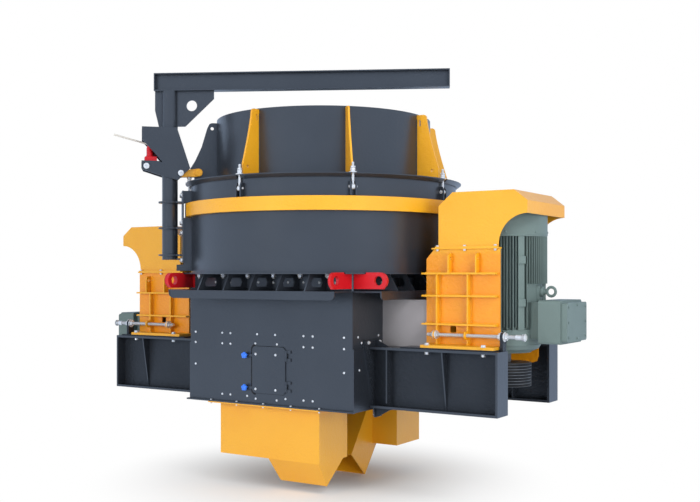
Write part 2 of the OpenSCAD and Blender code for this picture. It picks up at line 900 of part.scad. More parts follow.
module lift_jack() {
  color(red) in_lift_plane() {
    box([jack_t - 45, -50, jack_seat_z + seat], [jack_t + 60, 60, jack_seat_z + 40]);
    translate([jack_t, 0, 0]) {
      rod(27, jack_seat_z + 39, jack_seat_z + 132, $fn = 48);
      rod(17, jack_seat_z + 131, cross_z - seat, $fn = 48);
    }
    box([handle_pivot[0] - 14, handle_w - handle_eye, jack_seat_z + 39],
        [handle_pivot[0] + 14, handle_w + handle_eye, handle_pivot[1] - 23]);
    for (w = [handle_w - handle_eye, handle_w + handle_eye - 5])
      plate_xz(w, w + 5) union() {
        translate([handle_pivot[0] - 14, handle_pivot[1] - 24]) square([28, 24]);
        translate(handle_pivot) circle(14, $fn = 48);
      }
    translate([handle_pivot[0], handle_w + handle_eye, handle_pivot[1]]) rotate([90, 0, 0])
      cylinder(r = 5, h = 2 * handle_eye, $fn = 32);
  }
}

module jack_handle() {
  rise = 14.6;
  reach = 365;
  color([0.82, 0.80, 0.76]) in_lift_plane()
    translate([handle_pivot[0], handle_w, handle_pivot[1]]) rotate([0, rise, 0]) difference() {
      union() {
        translate([0, 10, 0]) rotate([90, 0, 0]) cylinder(r = 11, h = 20, $fn = 32);
        rotate([0, -90, 0]) cylinder(r = 8, h = reach, $fn = 32);
      }
      translate([0, 20, 0]) rotate([90, 0, 0]) cylinder(r = 5 + run, h = 40, $fn = 32);
    }
}

// Inspection door in the front wall
module access_door() {
  color(dark) difference() {
    union() {
      translate([door_x, 0, door_z + door_h / 2])
        plate_xz(-housing_half - door_t, -housing_half - seat) rounded(door_w, door_h, 35);
      for (z = [door_z + 50, door_z + door_h - 90])
        door_knuckle(z, 40);
    }
    translate([hinge_x, hinge_y, 0]) rod(hinge_pin_r + run, 0, housing_h, $fn = 32);
  }
}

module door_knuckle(z, h) {
  translate([hinge_x, hinge_y, z]) cylinder(r = hinge_r, h = h, $fn = 32);
  box([hinge_x - 20, hinge_y, z], [hinge_x, -housing_half - seat, z + h]);
}

module door_hinges() {
  color(dark) for (z = [door_z + 50, door_z + door_h - 90]) {
    for (dz = [-26, 41]) {
      difference() {
        union() {
          translate([hinge_x, hinge_y, z + dz]) cylinder(r = hinge_r, h = 25, $fn = 32);
          box([hinge_x, hinge_y, z + dz], [hinge_x + 45, -housing_half, z + dz + 25]);
        }
        translate([hinge_x, hinge_y, z - 60]) cylinder(r = hinge_pin_r, h = 160, $fn = 32);
      }
    }
    translate([hinge_x, hinge_y, z - 26]) cylinder(r = hinge_pin_r, h = 92, $fn = 32);
  }
}

module door_knobs() {
  color(blue) for (z = [door_z + 70, door_z + door_h - 60])
    translate([knob_x, -housing_half, z]) rotate([90, 0, 0]) {
      cylinder(r = 10, h = 20, $fn = 32);
      translate([0, 0, 18]) cylinder(r = 24, h = 22, $fn = 48);
    }
}

// Motor carriage on the beams. Ribs, tabs and base state where they stand along X.
carriage_x0 = motor_x - 526;
carriage_x1 = motor_x + 124;
back_x = motor_x - motor_r - 26;
base_z = beam_h + rail_t + seat;
carriage_foot = 340;
front_ribs = [motor_x - 416, motor_x - 141];
rear_ribs = [motor_x - 336, motor_x - 69];
front_tabs = [motor_x - 306, motor_x - 64];
rear_tabs = [motor_x - 261, motor_x - 26];
front_base = [motor_x - 476, motor_x + 159];
rear_base = [motor_x - 586, motor_x + 34];
rib_t = 14;

module carriage_side(ribs, tabs, base, drop) {
  inner = carriage_half - carriage_t;
  base_t = 22;
  foot = carriage_foot - drop;
  top = carriage_top - drop;
  rib_low = beam_h + rail_t + 176;
  rib_mid = carriage_top - 395;
  rib_top = carriage_top - 215 - drop;
  outer = carriage_half + 60;
  difference() {
    plate_xz(inner, carriage_half) polygon([
      [carriage_x0, foot], [carriage_x1 - 60, foot], [carriage_x1 - 15, foot + 15],
      [carriage_x1, foot + 60], [carriage_x1, top], [carriage_x0 + 80, top],
      [carriage_x0, top - 90]
    ]);
    plate_xz(inner - over, carriage_half + over) translate([ribs[0] + 133, rod_z + 42])
      rounded(53, 54, 12);
  }
  box([base[0], carriage_half - 1, base_z], [base[1], beam_in + beam_w - 30, base_z + base_t]);
  for (z = drop > 0 ? [rib_low, rib_top] : [rib_low, rib_mid, rib_top])
    box([carriage_x0 - 15, carriage_half - 1, z], [carriage_x1 - 15, outer, z + rib_t]);
  for (x = ribs) difference() {
    union() {
      box([x, carriage_half - 1, base_z + base_t - 1], [x + rib_t, carriage_half + 50, rib_top + 1]);
      translate([x, rod_y, rod_z]) rotate([0, 90, 0]) cylinder(r = 34, h = rib_t);
      box([x, carriage_half - 1, rod_z - 34], [x + rib_t, rod_y, rod_z + 34]);
    }
    translate([x - 5, rod_y, rod_z]) rotate([0, 90, 0]) cylinder(r = rod_r + run, h = rib_t + 10);
  }
  for (x = tabs) plate_yz(x, x + 12) difference() {
    union() {
      translate([carriage_half - 1, rib_top + 5]) square([61, 130]);
      translate([carriage_half + 25, rib_top + 135]) circle(35);
      translate([carriage_half - 1, rib_top + 5]) square([26, 165]);
    }
    translate([carriage_half + 28, rib_top + 127]) circle(14, $fn = 32);
  }
  box([carriage_x0 + 60, inner - 20, top - 12], [carriage_x1, carriage_half + 25, top]);
}

module carriage(drop) {
  color(yellow) union() {
    mirror([0, 1, 0]) carriage_side(front_ribs, front_tabs, front_base, drop);
    carriage_side(rear_ribs, rear_tabs, rear_base, drop);
    box([back_x, -carriage_half + carriage_t - 1, carriage_foot + 60 - drop],
        [back_x + 16, carriage_half - carriage_t + 1, carriage_top - drop]);
  }
}

// Finned motor, shaft end down, with feet on the carriage's back plate
fin_count = 44;
fin_t = 6;
core_r = motor_r - 43;
shield_r = motor_r - 20;
shield_z = 467;
motor_shaft_r = 40;
pad_angles = [-45, 45, 135, 225];

function near_pad(a) = len([for (p = pad_angles) if (abs(a - p) < 9 || abs(a - p - 360) < 9) p]) > 0;

module motor() {
  foot_x = back_x + 16 + seat;
  color(green) translate([motor_x, 0, 0]) difference() {
    union() {
      rod(core_r, shield_z + 60, fins_top + 1);
      rotate_extrude() polygon([
        [0, shield_z], [shield_r - 105, shield_z], [shield_r - 50, shield_z + 25],
        [shield_r - 23, shield_z + 70], [shield_r, fins_z - 40], [shield_r, fins_z], [0, fins_z]
      ]);
      rotate_extrude() polygon([
        [0, fins_top], [motor_r - 3, fins_top], [motor_r, fins_top + 12],
        [motor_r, fan_top - 30], [motor_r - 30, fan_top], [0, fan_top]
      ]);
      for (i = [0:fin_count - 1]) let(a = -90 + i * 360 / fin_count)
        if (!near_pad(a) && abs(a) > 35) rotate([0, 0, a])
          box([core_r - 10, -fin_t / 2, fins_z - 1], [motor_r, fin_t / 2, fins_top + 1]);
      for (a = pad_angles) rotate([0, 0, a]) {
        box([core_r - 20, -26, fins_z - 1], [motor_r - 12, 26, fins_top + 1]);
        for (z = [fins_z + 186, fins_z + 526]) box([core_r - 20, -30, z], [motor_r + 3, 30, z + 60]);
      }
      both_y() box([foot_x - motor_x, 190, fins_z + 106], [-100, 250, fins_top - 110]);
    }
    rod(motor_shaft_r + run, shield_z - over, shield_z + 95);
  }
}

// Terminal box on the outer side of the motor
module terminal_box() {
  box_x0 = motor_x + 374;
  box_x1 = box_x0 + 180;
  z0 = fins_z - 106;
  z1 = z0 + 344;
  half = 245;
  neck = 150;
  wide = 190;
  mid = [0, (z0 + z1) / 2];
  color(green) union() {
    difference() {
      translate([0, 0, z0 + 30]) linear_extrude(z1 - z0 - 50) polygon([
        [motor_x + core_r - 60, -neck], [motor_x + 265, -neck], [box_x0 + 1, -wide],
        [box_x0 + 1, wide], [motor_x + 265, neck], [motor_x + core_r - 60, neck]
      ]);
      translate([motor_x, 0, 0]) {
        rod(core_r + seat, z0 - over, z1 + over);
        rod(shield_r + seat, z0 - over, fins_z + seat);
      }
    }
    plate_yz(box_x0, box_x1) rounded_at(mid, 2 * half, z1 - z0);
    plate_yz(box_x1 - 1, box_x1 + 50) rounded_at(mid, 2 * half - 40, z1 - z0 - 36);
  }
}

module rounded_at(c, w, h) {
  translate(c) rounded(w, h, 22);
}

// Cowl over the motor's fan, open below
cowl_x0 = motor_x - 416;
cowl_x1 = motor_x + 352;
arch_r = 240;
arch_z = carriage_top + 20;

module cowl_outline(shrink) {
  s = shrink;
  difference() {
    polygon([
      [cowl_x0 + s, carriage_top - 4 * s], [cowl_x0 + s, cowl_top - 107 - s / 2],
      [cowl_x0 + 126 + s / 2, cowl_top - s], [cowl_x1 - 112 - s / 2, cowl_top - s],
      [cowl_x1 - s, cowl_top - 87 - s / 2], [cowl_x1 - s, carriage_top - 4 * s]
    ]);
    if (s == 0) translate([cowl_x1, arch_z]) circle(arch_r);
    if (s == 0) translate([cowl_x1 - arch_r, carriage_top - over])
      square([arch_r + over, arch_z - carriage_top + over]);
  }
}

module cowl() {
  flange_z = carriage_top;
  color(yellow) union() {
    difference() {
      plate_xz(-carriage_half, carriage_half) cowl_outline(0);
      plate_xz(-carriage_half + cowl_t, carriage_half - cowl_t) cowl_outline(cowl_t);
    }
    both_y() box([cowl_x0 - 20, carriage_half - cowl_t, flange_z],
                 [cowl_x1 - arch_r, carriage_half + 25, flange_z + 10]);
    box([cowl_x0 - 20, -carriage_half, flange_z], [cowl_x0 + 1, carriage_half, flange_z + 10]);
  }
}

// Rods that set the belt tension, each held by nuts at its carriage rib
module tension_rod(rib) {
  x1 = beam_reach + 158;
  translate([0, rod_y, rod_z]) rotate([0, 90, 0]) {
    rod(rod_r, rib - 60, x1, $fn = 48);
    for (x = [rib - 24 - seat, rib + rib_t + seat, x1 - 24]) rod(26, x, x + 24, $fn = 6);
  }
}

module tension_rods() {
  color(zinc) {
    mirror([0, 1, 0]) tension_rod(front_ribs[0]);
    tension_rod(rear_ribs[0]);
  }
}

module sheave() {
  color([0.4, 0.4, 0.4]) translate([motor_x, 0, 0]) {
    sheave_body(grooves, sheave_z);
    rod(motor_shaft_r, sheave_z + sheave_h - 1, shield_z + 90);
  }
}

module carriage_right() { carriage(0); }
module carriage_left() { rotate([0, 0, 180]) carriage(left_drop); }
module motor_right() { motor(); }
module motor_left() { left_side() motor(); }
module terminal_box_right() { terminal_box(); }
module terminal_box_left() { left_side() terminal_box(); }
module cowl_right() { cowl(); }
module cowl_left() { left_side() cowl(); }
module tension_rods_right() { tension_rods(); }
module tension_rods_left() { rotate([0, 0, 180]) tension_rods(); }
module sheave_right() { sheave(); }
module sheave_left() { left_side() sheave(); }

housing_front();
housing_rear();
belt_tunnel();
deck_plate();
gusset_ring();
lifting_lugs();
drum_flange();
drum();
drum_band();
roof_cover();
feed_tube();
feed_hat();
hat_gussets();
lever_gusset();
bolt_lugs();
swing_bolts();
rotor();
bearing_cartridge();
beam_front_right();
beam_rear_right();
beam_front_left();
beam_rear_left();
belts_right();
belts_left();
chute_front();
chute_rear();
jib_bracket();
jib_post();
jib_boom();
lift_lever();
lever_pins();
lever_links();
lift_jack();
jack_handle();
access_door();
door_hinges();
door_knobs();
carriage_right();
motor_right();
terminal_box_right();
cowl_right();
tension_rods_right();
sheave_right();
carriage_left();
motor_left();
terminal_box_left();
cowl_left();
tension_rods_left();
sheave_left();
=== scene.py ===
import json
from math import cos, pi, radians, sin, sqrt

import bmesh
import bpy
from mathutils import Matrix, Vector


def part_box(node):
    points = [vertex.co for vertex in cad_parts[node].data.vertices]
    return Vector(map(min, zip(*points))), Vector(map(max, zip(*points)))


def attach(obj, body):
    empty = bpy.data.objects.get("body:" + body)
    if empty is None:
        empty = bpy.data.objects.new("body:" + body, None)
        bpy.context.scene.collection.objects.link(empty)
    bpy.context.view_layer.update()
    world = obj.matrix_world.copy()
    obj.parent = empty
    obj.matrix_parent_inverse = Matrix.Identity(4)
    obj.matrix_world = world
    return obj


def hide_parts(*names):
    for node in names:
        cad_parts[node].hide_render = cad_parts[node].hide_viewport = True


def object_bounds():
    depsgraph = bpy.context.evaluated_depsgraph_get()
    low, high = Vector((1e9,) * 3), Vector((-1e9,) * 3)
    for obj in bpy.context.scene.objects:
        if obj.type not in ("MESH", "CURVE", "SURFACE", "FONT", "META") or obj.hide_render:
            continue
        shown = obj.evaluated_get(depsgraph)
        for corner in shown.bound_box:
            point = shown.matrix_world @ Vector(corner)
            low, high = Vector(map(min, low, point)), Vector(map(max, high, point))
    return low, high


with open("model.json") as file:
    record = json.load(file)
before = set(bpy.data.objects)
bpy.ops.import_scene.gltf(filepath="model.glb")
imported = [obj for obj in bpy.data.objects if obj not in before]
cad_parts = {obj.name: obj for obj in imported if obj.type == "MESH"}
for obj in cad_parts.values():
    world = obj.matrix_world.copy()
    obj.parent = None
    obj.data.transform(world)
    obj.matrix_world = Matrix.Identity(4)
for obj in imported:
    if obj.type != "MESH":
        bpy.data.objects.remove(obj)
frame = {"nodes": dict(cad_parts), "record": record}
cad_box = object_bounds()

# Twin-motor vertical shaft impact crusher. Metres: X from motor to motor, the
# front with the inspection door faces -Y, Z = 0 is the underside of the base frame.

LEFT, RIGHT = -1, 1
FRONT, BACK = Vector((0, -1, 0)), Vector((0, 1, 0))
UP, DOWN = Vector((0, 0, 1)), Vector((0, 0, -1))

HOUSING_HALF = 0.86
DOUBLER_X = 0.872
PLATE_X = 0.885
FACE_MID = -0.012
DECK_TOP = 0.960
RING_TOP = 1.098
RING_HALF = 0.800
FLANGE_TOP = 1.110
ROOF_TOP = 1.900
HAT_TOP = 2.490
HAT_R = 0.981
DRUM_R = 1.214
BOLT_CIRCLE = 1.230
BEAM_TOP = 0.500
BEAM_FLANGE = 0.020
MOTOR_X = 1.816
MOTOR_R = 0.335
SHIELD_R = 0.315
LEFT_DROP = 0.188
EYE_Z = 1.800
CARRIAGE_HALF = 0.407
CARRIAGE_TOP = 1.310
ROD_Y, ROD_Z = 0.480, 0.610
POST_X = -1.401 / sqrt(2)


# ---------------------------------------------------------------- shader maths

class Value:
    """A shader number that Python's operators work on."""

    def __init__(self, shader, socket):
        self.shader, self.socket = shader, socket

    def _math(self, operation, a, b):
        return self.shader.number("ShaderNodeMath", {"operation": operation}, {0: a, 1: b})

    def __add__(self, other): return self._math("ADD", self, other)
    def __radd__(self, other): return self._math("ADD", other, self)
    def __sub__(self, other): return self._math("SUBTRACT", self, other)
    def __rsub__(self, other): return self._math("SUBTRACT", other, self)
    def __mul__(self, other): return self._math("MULTIPLY", self, other)
    def __rmul__(self, other): return self._math("MULTIPLY", other, self)
    def __pow__(self, other): return self._math("POWER", self, other)


class Shader:
    """A material with a Principled BSDF, and the nodes that feed it."""

    def __init__(self, name):
        self.material = bpy.data.materials.new(name)
        self.material.use_nodes = True
        self.tree = self.material.node_tree
        self.bsdf = self.tree.nodes["Principled BSDF"]
        self.place = self.node("ShaderNodeTexCoord").outputs["Object"]

    def node(self, kind, settings=None, values=None):
        made = self.tree.nodes.new(kind)
        for key, setting in (settings or {}).items():
            setattr(made, key, setting)
        for key, value in (values or {}).items():
            self.feed(made.inputs[key], value)
        return made

    def number(self, kind, settings, values, output=0):
        return Value(self, self.node(kind, settings, values).outputs[output])

    def feed(self, socket, value):
        if isinstance(value, Value):
            value = value.socket
        if isinstance(value, bpy.types.NodeSocket):
            self.tree.links.new(value, socket)
        else:
            socket.default_value = value

    def set(self, **values):
        for key, value in values.items():
            self.feed(self.bsdf.inputs[key.replace("_", " ")], value)
        return self

    def noise(self, scale, detail=2.0, place=None):
        return self.number("ShaderNodeTexNoise", {}, {
            "Vector": place or self.place, "Scale": scale, "Detail": detail, "Roughness": 0.55})

    def span(self, value, low, high, to_low, to_high):
        return self.number("ShaderNodeMapRange", {"interpolation_type": "SMOOTHSTEP"}, {
            "Value": value, "From Min": low, "From Max": high, "To Min": to_low, "To Max": to_high})

    def blend(self, factor, first, second):
        made = self.node("ShaderNodeMix", {"data_type": "RGBA"}, {"Factor": factor})
        self.feed(made.inputs[6], rgba(first))
        self.feed(made.inputs[7], rgba(second))
        return made.outputs[2]

    def bump(self, height, distance, strength=1.0):
        made = self.node("ShaderNodeBump", {}, {
            "Height": height, "Distance": distance, "Strength": strength})
        self.feed(self.bsdf.inputs["Normal"], made.outputs["Normal"])

    def place_parts(self):
        split = self.node("ShaderNodeSeparateXYZ", {}, {"Vector": self.place})
        return [Value(self, split.outputs[axis]) for axis in "XYZ"]


def rgba(colour):
    if isinstance(colour, bpy.types.NodeSocket):
        return colour
    return (*colour, 1.0)


def shade(colour, factor):
    return tuple(min(1.0, part * factor) for part in colour)


# ---------------------------------------------------------------- finishes

def gloss_paint(name, colour, deep, roughness=0.30, peel=0.0030, peel_scale=46, gloss=0.5):
    """Machine enamel: colour drifts a little, the film has orange peel."""
    paint = Shader(name)
    drift = paint.noise(1.7, 3)
    speck = paint.noise(260, 1)
    worn = paint.blend(paint.span(drift, 0.35, 0.68, 0, 1), colour, deep)
    grain = paint.blend(paint.span(speck, 0.60, 0.74, 0, 0.35), worn, shade(colour, 1.12))
    paint.set(Base_Color=grain, Roughness=roughness + 0.10 * drift, Specular_IOR_Level=gloss)
    paint.bump(paint.noise(peel_scale, 2) + 0.25 * speck, peel)
    return paint.material


def ribbed_paint(name, colour, recess_painted_shade, plate_y, top):
    """Enamel on ribbed plates, with painted shade: the panels between the ribs are painted a deeper orange, standing
    for the shade and yellow-on-yellow bounce in those recesses.
    """
    paint = Shader(name)
    _, across, height = paint.place_parts()
    reach = paint.number("ShaderNodeMath", {"operation": "ABSOLUTE"}, {0: across})
    recess_shade_mask = paint.span(reach, plate_y + 0.002, plate_y + 0.022, 1, 0) * paint.span(height, top - 0.05, top, 1, 0)
    cloud = paint.noise(4.5, 3)
    base = paint.blend(paint.span(cloud, 0.35, 0.68, 0, 0.5), colour, shade(colour, 0.95))
    # Painted shade: the recess colour goes on the plate faces between the ribs and below the top edge, more or less
    # by a cloud noise.
    paint.set(Base_Color=paint.blend(recess_shade_mask * (0.55 + 0.6 * cloud), base, recess_painted_shade),
              Roughness=0.26 + 0.12 * cloud, Specular_IOR_Level=0.7)
    paint.bump(paint.noise(34, 2) + 0.15 * paint.noise(240, 1), 0.0042)
    return paint.material


def cast_paint(name, colour, deep):
    """Satin paint on a rough casting."""
    paint = Shader(name)
    drift = paint.noise(3.2, 3)
    sand = paint.noise(340, 2)
    paint.set(Base_Color=paint.blend(paint.span(drift, 0.3, 0.7, 0, 1), colour, deep),
              Roughness=0.46 + 0.12 * drift, Specular_IOR_Level=0.35)
    paint.bump(sand + 0.8 * paint.noise(70, 2), 0.0007)
    return paint.material


def plated_steel(name, colour, roughness=0.28):
    """Zinc plate with a faint cloud and fine turning marks."""
    zinc = Shader(name)
    cloud = zinc.noise(30, 3)
    zinc.set(Base_Color=zinc.blend(zinc.span(cloud, 0.35, 0.7, 0, 1), colour, shade(colour, 0.84)),
             Metallic=0.5, Roughness=roughness + 0.16 * cloud)
    zinc.bump(zinc.noise(900, 1), 0.0002)
    return zinc.material


def threaded_steel(name, colour, pitch):
    """Plated rod with its thread as ridges along X; the grooves between the ridges are painted darker as painted
    shade.
    """
    rod = Shader(name)
    along, _, _ = rod.place_parts()
    ridge = rod.number("ShaderNodeMath", {"operation": "SINE"}, {0: along * (2 * pi / pitch)})
    # Painted shade: the grooves between the thread's ridges are darkened to 0.55 of the colour, the crests keep the
    # full colour.
    rod.set(Base_Color=rod.blend(rod.span(ridge, -1, 0.2, 0, 1), shade(colour, 0.55), colour),
            Metallic=0.5, Roughness=0.30)
    rod.bump(ridge, pitch / 5)
    return rod.material


def turned_iron(name, colour):
    """Machined grey iron with tool rings and a few dull patches."""
    iron = Shader(name)
    cloud = iron.noise(14, 3)
    iron.set(Base_Color=iron.blend(iron.span(cloud, 0.3, 0.7, 0, 1), colour, shade(colour, 0.7)),
             Metallic=0.55, Roughness=0.38 + 0.15 * cloud)
    iron.bump(iron.noise(420, 2), 0.0004)
    return iron.material


def belt_rubber(name):
    """Wrapped belt: black fabric cover, dusty on the flanks."""
    belt = Shader(name)
    weave = belt.noise(500, 1)
    dust = belt.span(belt.noise(9, 3), 0.45, 0.75, 0, 1)
    belt.set(Base_Color=belt.blend(dust, (0.012, 0.012, 0.013), (0.035, 0.033, 0.031)),
             Roughness=0.78 + 0.1 * weave)
    belt.bump(weave, 0.0005)
    return belt.material


def gloss_plastic(name, colour):
    knob = Shader(name)
    haze = knob.noise(60, 2)
    knob.set(Base_Color=knob.blend(knob.span(haze, 0.3, 0.7, 0, 1), colour, shade(colour, 0.8)),
             Roughness=0.25 + 0.1 * haze)
    knob.bump(knob.noise(300, 1), 0.0002)
    return knob.material


DARK = (0.021, 0.025, 0.032)
YELLOW = (0.80, 0.385, 0.010)
RED = (0.56, 0.008, 0.014)
GREEN = (0.143, 0.195, 0.187)
ZINC = (0.80, 0.81, 0.82)

dark_paint = gloss_paint("dark_enamel", DARK, shade(DARK, 0.85), 0.27, 0.0012, 40, gloss=0.9)
beam_paint = gloss_paint("beam_enamel", DARK, shade(DARK, 0.85), 0.20, 0.0048, 30, gloss=0.28)
# Painted light: the gusset ring's wall sits in shade under the drum flange, so the same dark enamel is painted 2.2
# times lighter there.
ring_painted_light = gloss_paint("ring_enamel_painted_light", shade(DARK, 2.2), shade(DARK, 1.9), 0.27, 0.0012, 40, gloss=0.9)
yellow_paint = gloss_paint("yellow_enamel", YELLOW, (0.78, 0.355, 0.006), 0.32, gloss=0.85)
# Painted shade: the carriage's plates between the ribs take the deeper orange recess colour.
carriage_paint = ribbed_paint("carriage_enamel", YELLOW, (0.76, 0.27, 0.005), 0.407, 1.29)
red_paint = gloss_paint("red_enamel", RED, shade(RED, 0.9), 0.26, 0.0006)
motor_paint = cast_paint("motor_enamel", GREEN, shade(GREEN, 0.9))
zinc_plate = plated_steel("zinc_plate", ZINC)
rod_thread = threaded_steel("rod_thread", ZINC, 0.004)
grey_iron = turned_iron("turned_iron", (0.17, 0.175, 0.18))
black_belt = belt_rubber("belt_cover")
pale_rod = gloss_paint("pale_lacquer", (0.60, 0.58, 0.54), (0.50, 0.47, 0.42), 0.4, 0.0004)
grey_paint = gloss_paint("grey_enamel", (0.31, 0.295, 0.31), (0.27, 0.26, 0.27), 0.42, 0.0008)
blue_knob = gloss_plastic("blue_knob", (0.045, 0.21, 0.92))

slot_finish = {
    "dark_paint": dark_paint, "yellow_paint": yellow_paint, "red_paint": red_paint,
    "motor_paint": motor_paint, "zinc": zinc_plate, "cast_grey": grey_iron,
    "grey_paint": grey_paint, "belt_rubber": black_belt, "handle_rod": pale_rod, "knob_blue": blue_knob,
}
for part in frame["record"]["subparts"]:
    finish = slot_finish[part["material_slot"]]
    if part["node"].startswith("tension_rods"):
        finish = rod_thread
    # the carriage gets the ribbed enamel with its painted recess shade
    if part["node"].startswith("carriage"):
        finish = carriage_paint
    if part["node"].startswith("beam_"):
        finish = beam_paint
    # the gusset ring gets the lighter copy of the dark enamel, as painted light
    if part["node"] == "gusset_ring":
        finish = ring_painted_light
    for material_slot in frame["nodes"][part["node"]].material_slots:
        material_slot.material = finish


# ---------------------------------------------------------------- shapes

def turned(profile, segments=24):
    """A (radius, height) profile turned round the Z axis."""
    made = bmesh.new()
    ring = [made.verts.new((radius, 0, height)) for radius, height in profile]
    lines = [made.edges.new(pair) for pair in zip(ring, ring[1:])]
    bmesh.ops.spin(made, geom=ring + lines, cent=(0, 0, 0), axis=(0, 0, 1), angle=2 * pi,
                   steps=segments, use_merge=True)
    bmesh.ops.remove_doubles(made, verts=made.verts, dist=1e-6)
    bmesh.ops.recalc_face_normals(made, faces=made.faces)
    return made


def block(low, high, bevel=0.0):
    """A box between two corners, with its edges bevelled."""
    made = bmesh.new()
    size = Vector(high) - Vector(low)
    middle = (Vector(high) + Vector(low)) / 2
    bmesh.ops.create_cube(made, size=1, matrix=Matrix.Translation(middle) @ Matrix.Diagonal((*size, 1)))
    if bevel:
        bmesh.ops.bevel(made, geom=made.edges[:], offset=bevel, segments=2, profile=0.5,
                        affect="EDGES", material=-1)
    return made


def prism(outline, thickness, bevel=0.0):
    """A flat outline in the XY plane, raised along Z."""
    made = bmesh.new()
    face = made.faces.new([made.verts.new((x, y, 0)) for x, y in outline])
    raised = bmesh.ops.extrude_face_region(made, geom=[face])["geom"]
    bmesh.ops.translate(made, vec=(0, 0, thickness),
                        verts=[part for part in raised if isinstance(part, bmesh.types.BMVert)])
    bmesh.ops.recalc_face_normals(made, faces=made.faces)
    if bevel:
        bmesh.ops.bevel(made, geom=made.edges[:], offset=bevel, segments=2, profile=0.5,
                        affect="EDGES", material=-1)
    return made


def joined(*parts):
    """One bmesh of several; the parts are freed."""
    whole = bmesh.new()
    carrier = bpy.data.meshes.new("carrier")
    for part in parts:
        part.to_mesh(carrier)
        part.free()
        whole.from_mesh(carrier)
    bpy.data.meshes.remove(carrier)
    return whole


def moved(part, matrix):
    bmesh.ops.transform(part, matrix=matrix, verts=part.verts)
    if matrix.determinant() < 0:
        bmesh.ops.reverse_faces(part, faces=part.faces)
    return part


def aimed(point, direction, spin=0.0):
    """The matrix that puts a pattern's +Z along a direction at a point."""
    turn = Vector(direction).to_track_quat("Z", "Y").to_matrix().to_4x4()
    return Matrix.Translation(point) @ turn @ Matrix.Rotation(spin, 4, "Z")


def stamped(pattern, places, turn=0.4):
    """Copies of a pattern at (point, direction) places; the pattern is freed."""
    whole = bmesh.new()
    carrier = bpy.data.meshes.new("carrier")
    for number, (point, direction) in enumerate(places):
        copy = pattern.copy()
        moved(copy, aimed(point, direction, turn * number))
        copy.to_mesh(carrier)
        copy.free()
        whole.from_mesh(carrier)
    pattern.free()
    bpy.data.meshes.remove(carrier)
    return whole


def piece(name, shape, finish, body, smooth=35):
    """Turns a bmesh into a finished piece that rides on a body."""
    mesh = bpy.data.meshes.new(name)
    shape.to_mesh(mesh)
    shape.free()
    mesh.polygons.foreach_set("use_smooth", [True] * len(mesh.polygons))
    mesh.set_sharp_from_angle(angle=radians(smooth))
    mesh.materials.append(finish)
    made = bpy.data.objects.new(name, mesh)
    bpy.context.scene.collection.objects.link(made)
    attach(made, body)
    return made


def hexagon(across, low, high):
    """A chamfered hexagon between two heights, seen along Z."""
    made = bmesh.new()
    bmesh.ops.create_cone(made, cap_ends=True, segments=6, radius1=across / sqrt(3),
                          radius2=across / sqrt(3), depth=high - low,
                          matrix=Matrix.Translation((0, 0, (low + high) / 2)))
    bmesh.ops.bevel(made, geom=[edge for edge in made.edges if abs(edge.verts[0].co.z - edge.verts[1].co.z) < 1e-6],
                    offset=across * 0.06, segments=1, profile=0.5, affect="EDGES", material=-1)
    return made


def hex_bolt(size, washer=True):
    """A hexagon head on its washer, for a thread of this size."""
    foot = 0.18 * size if washer else 0.0
    head = hexagon(1.5 * size, foot, foot + 0.64 * size)
    if not washer:
        return head
    ring = turned([(0, 0), (1.0 * size, 0), (1.0 * size, foot * 0.8), (0.95 * size, foot), (0, foot)])
    return joined(head, ring)


def stud_and_nut(size, stand_out=1.6):
    """A washer, a nut and the thread end that stands out of it."""
    foot, tall = 0.18 * size, 0.98 * size
    ring = turned([(0, 0), (1.0 * size, 0), (1.0 * size, foot * 0.8), (0.95 * size, foot), (0, foot)])
    thread = [(size * (0.5 if step % 2 else 0.46), tall + size * 0.06 * step)
              for step in range(int(stand_out * 10))]
    stem = turned([(0, foot)] + [(size * 0.5, foot)] + thread + [(size * 0.40, thread[-1][1] + 0.08 * size),
                  (0, thread[-1][1] + 0.08 * size)], 16)
    return joined(ring, hexagon(1.5 * size, foot, foot + tall), stem)


def dome_bolt(radius):
    """A low round head, as on carriage bolts."""
    rise = 0.62 * radius
    arc = [(radius * cos(a), rise * sin(a)) for a in (0, 0.25, 0.55, 0.85, 1.15, 1.4)]
    return turned([(radius, -0.0005)] + arc + [(0, rise)], 16)


# ---------------------------------------------------------------- housing

def face_rows():
    """(x, z) of the round-headed bolts on a long face of the housing."""
    places = []
    for z in (0.583, 0.491):
        places += [(s * x, z) for s in (-1, 1) for x in (0.79, 0.482, 0.390)]
    places += [(s * 0.096, 0.583) for s in (-1, 1)] + [(s * 0.115, 0.503) for s in (-1, 1)]
    places += [(s * 0.79, 0.298) for s in (-1, 1)]
    places += [(s * x, 0.047) for s in (-1, 1) for x in (0.482, 0.390, 0.205)]
    places += [(s * 0.112, 0.028) for s in (-1, 1)]
    return places


face_bolts = []
for x, z in face_rows():
    face_bolts.append(((x + FACE_MID, -HOUSING_HALF, z), FRONT))
    face_bolts.append(((-x - FACE_MID, HOUSING_HALF, z), BACK))
for side in (LEFT, RIGHT):
    for end in (-1, 1):
        for x, y, z in ((HOUSING_HALF, 0.777, 0.585), (HOUSING_HALF, 0.455, 0.585),
                        (DOUBLER_X, 0.777, 0.318), (DOUBLER_X, 0.742, 0.537), (PLATE_X, 0.509, 0.322)):
            face_bolts.append(((side * x, end * y, z), (side, 0, 0)))
piece("housing_round_bolts", stamped(dome_bolt(0.0105), face_bolts), zinc_plate, "crusher")

door_bolts = [((FACE_MID + s * 0.106, -0.870, z), FRONT) for s in (-1, 1) for z in (0.413, 0.1145)]
piece("door_round_bolts", stamped(dome_bolt(0.0115), door_bolts), zinc_plate, "door")


